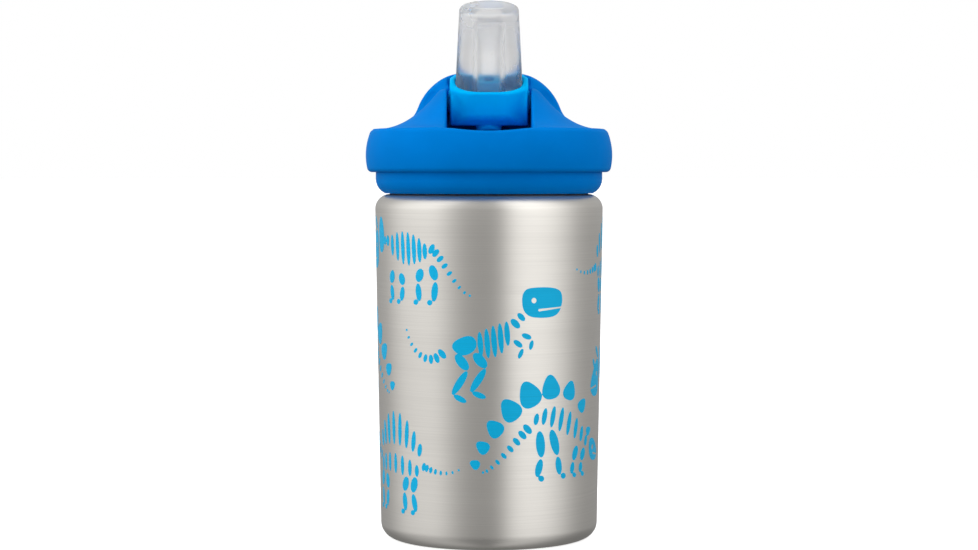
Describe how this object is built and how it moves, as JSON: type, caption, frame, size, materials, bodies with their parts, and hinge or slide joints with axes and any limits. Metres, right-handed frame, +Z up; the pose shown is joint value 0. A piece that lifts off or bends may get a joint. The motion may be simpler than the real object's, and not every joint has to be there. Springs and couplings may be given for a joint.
{
  "type": "kids water bottle",
  "caption": "Insulated steel bottle with a screw lid, a carry loop, a flip-up spout with a soft bite valve, and a straw.",
  "frame": {"origin": "centre of the bottle's base, on the surface that it stands on", "axes": "+Z up along the bottle's axis, -Y to the front, the way the spout leans, +X along the spout's hinge"},
  "size_m": [0.079, 0.079, 0.1726],
  "materials": {
    "steel_outer": "satin, brushed round the body",
    "steel_inner": "electropolished satin",
    "solder": "dull bead that closes the vacuum port",
    "getter": "dull sintered metal",
    "print_ink": "semi-gloss cyan ink, printed on the steel",
    "lid_plastic": "satin blue polypropylene",
    "silicone_white": "translucent white silicone",
    "silicone_clear": "milky clear silicone",
    "straw_plastic": "clear tube"
  },
  "bodies": {
    "bottle": {"outer_shell": "steel_outer", "inner_liner": "steel_inner", "base_disc": "steel_outer", "vacuum_seal": "solder", "getter_capsule": "getter"},
    "gasket": {"lid_gasket": "silicone_white"},
    "lid": {"thread_cap": "lid_plastic", "lid_cover": "lid_plastic", "port_seal": "silicone_white", "vent_valve": "silicone_white", "straw": "straw_plastic"},
    "spout": {"spout": "lid_plastic"},
    "bite_valve": {"bite_valve": "silicone_clear"}
  },
  "joints": [
    {"name": "lid_lift", "type": "slide", "parent": "bottle", "child": "gasket", "axis": [0, 0, 1], "range_m": [0, 0.0071]},
    {"name": "lid_turn", "type": "hinge", "parent": "gasket", "child": "lid", "pos_m": [0, 0, 0.12], "axis": [0, 0, 1], "range_deg": [0, 630]},
    {"name": "spout_flip", "type": "hinge", "parent": "lid", "child": "spout", "pos_m": [0, 0, 0.1398], "axis": [1, 0, 0], "range_deg": [0, 68]},
    {"name": "valve_pull", "type": "slide", "parent": "spout", "child": "bite_valve", "axis": [0, -0.3746, 0.9272], "range_m": [0, 0.018]}
  ],
  "couplings": [
    {"joint": "lid_lift", "follows": "lid_turn", "m_per_rad": 0.00063662}
  ]
}
